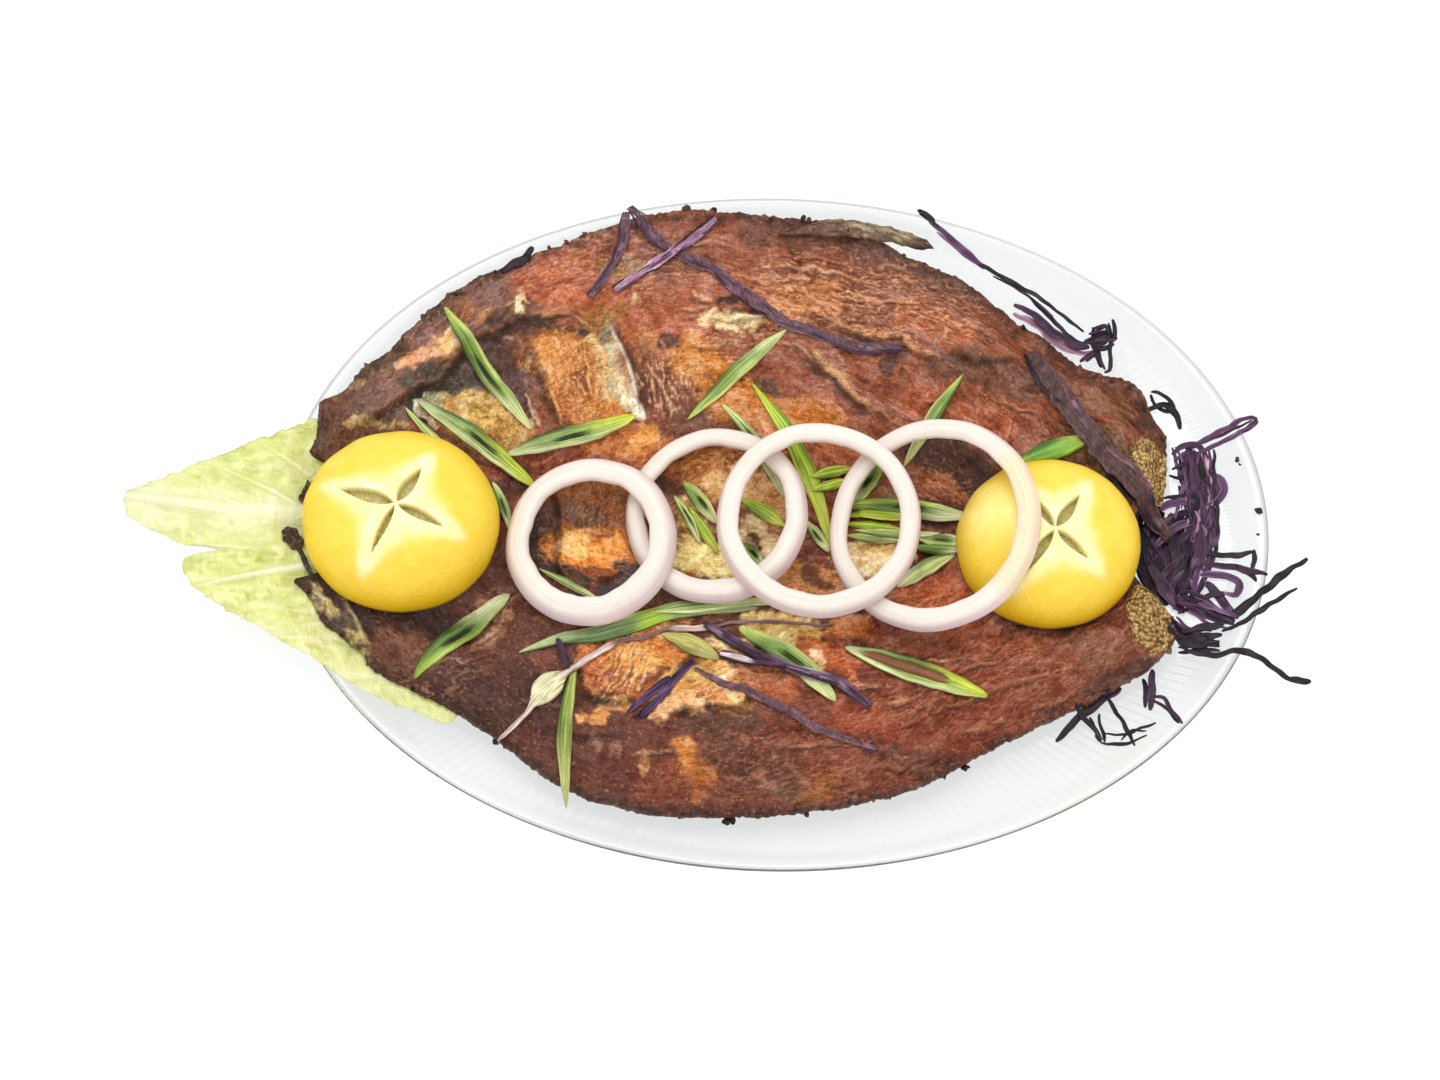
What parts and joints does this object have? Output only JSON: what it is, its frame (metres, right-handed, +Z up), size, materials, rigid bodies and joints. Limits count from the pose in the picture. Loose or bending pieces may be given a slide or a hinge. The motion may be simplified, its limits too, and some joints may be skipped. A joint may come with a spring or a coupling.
{
  "type": "fried milkfish on platter",
  "caption": "Butterflied, deep-fried fish on an oval glass platter, dressed with lemon ends, onion rings, spring onion slices, red cabbage and a lettuce leaf.",
  "frame": {"origin": "middle of the platter's flat foot, on the surface that it stands on", "axes": "+X along the platter towards the fish's tail, +Y across the platter to its far side, +Z up"},
  "size_m": [0.3834, 0.2268, 0.0508],
  "materials": {
    "plate_glass": "clear pressed glass, polished, with fine ribs up the side",
    "fried_fish": "deep-fried flesh, brown and golden, oily, fibrous and crisp at the edges",
    "lemon": "yellow peel with fine pores, white pith in the slits",
    "onion": "raw onion, white and slightly translucent with faint pink edges",
    "spring_onion": "raw spring onion leaf, green to lime, with paler cut edges",
    "red_cabbage": "raw red cabbage, dark purple with paler cut faces",
    "lettuce": "pale green leaf with a white midrib, thin and wavy"
  },
  "bodies": {
    "root": {"cabbage_band": "red_cabbage", "cabbage_below_tail": "red_cabbage", "cabbage_chip": "red_cabbage", "cabbage_curl": "red_cabbage", "cabbage_far_a": "red_cabbage", "cabbage_far_b": "red_cabbage", "cabbage_near_a": "red_cabbage", "cabbage_near_b": "red_cabbage", "cabbage_near_c": "red_cabbage", "cabbage_near_d": "red_cabbage", "cabbage_near_e": "red_cabbage", "cabbage_pale": "red_cabbage", "cabbage_star_a": "red_cabbage", "cabbage_star_b": "red_cabbage", "cabbage_star_long": "red_cabbage", "cabbage_tangle": "red_cabbage", "fish": "fried_fish", "lemon_left": "lemon", "lemon_right": "lemon", "lettuce_leaf": "lettuce", "onion_ring_1": "onion", "onion_ring_2": "onion", "onion_ring_3": "onion", "onion_ring_4": "onion", "plate": "plate_glass", "spring_onion_above_lemon": "spring_onion", "spring_onion_beside_lemon": "spring_onion", "spring_onion_by_collar": "spring_onion", "spring_onion_by_right_lemon": "spring_onion", "spring_onion_crossing": "spring_onion", "spring_onion_dark_long": "spring_onion", "spring_onion_far_middle": "spring_onion", "spring_onion_far_right": "spring_onion", "spring_onion_head": "spring_onion", "spring_onion_inner_left": "spring_onion", "spring_onion_lime_a": "spring_onion", "spring_onion_lime_b": "spring_onion", "spring_onion_long_middle": "spring_onion", "spring_onion_middle_a": "spring_onion", "spring_onion_middle_b": "spring_onion", "spring_onion_middle_c": "spring_onion", "spring_onion_middle_d": "spring_onion", "spring_onion_near_left": "spring_onion", "spring_onion_near_long": "spring_onion", "spring_onion_near_middle": "spring_onion", "spring_onion_near_right": "spring_onion", "spring_onion_near_upright": "spring_onion", "spring_onion_olive": "spring_onion", "spring_onion_ring_a": "spring_onion", "spring_onion_ring_b": "spring_onion", "spring_onion_ring_c": "spring_onion", "spring_onion_thin": "spring_onion", "spring_onion_upper_left": "spring_onion"}
  },
  "joints": []
}
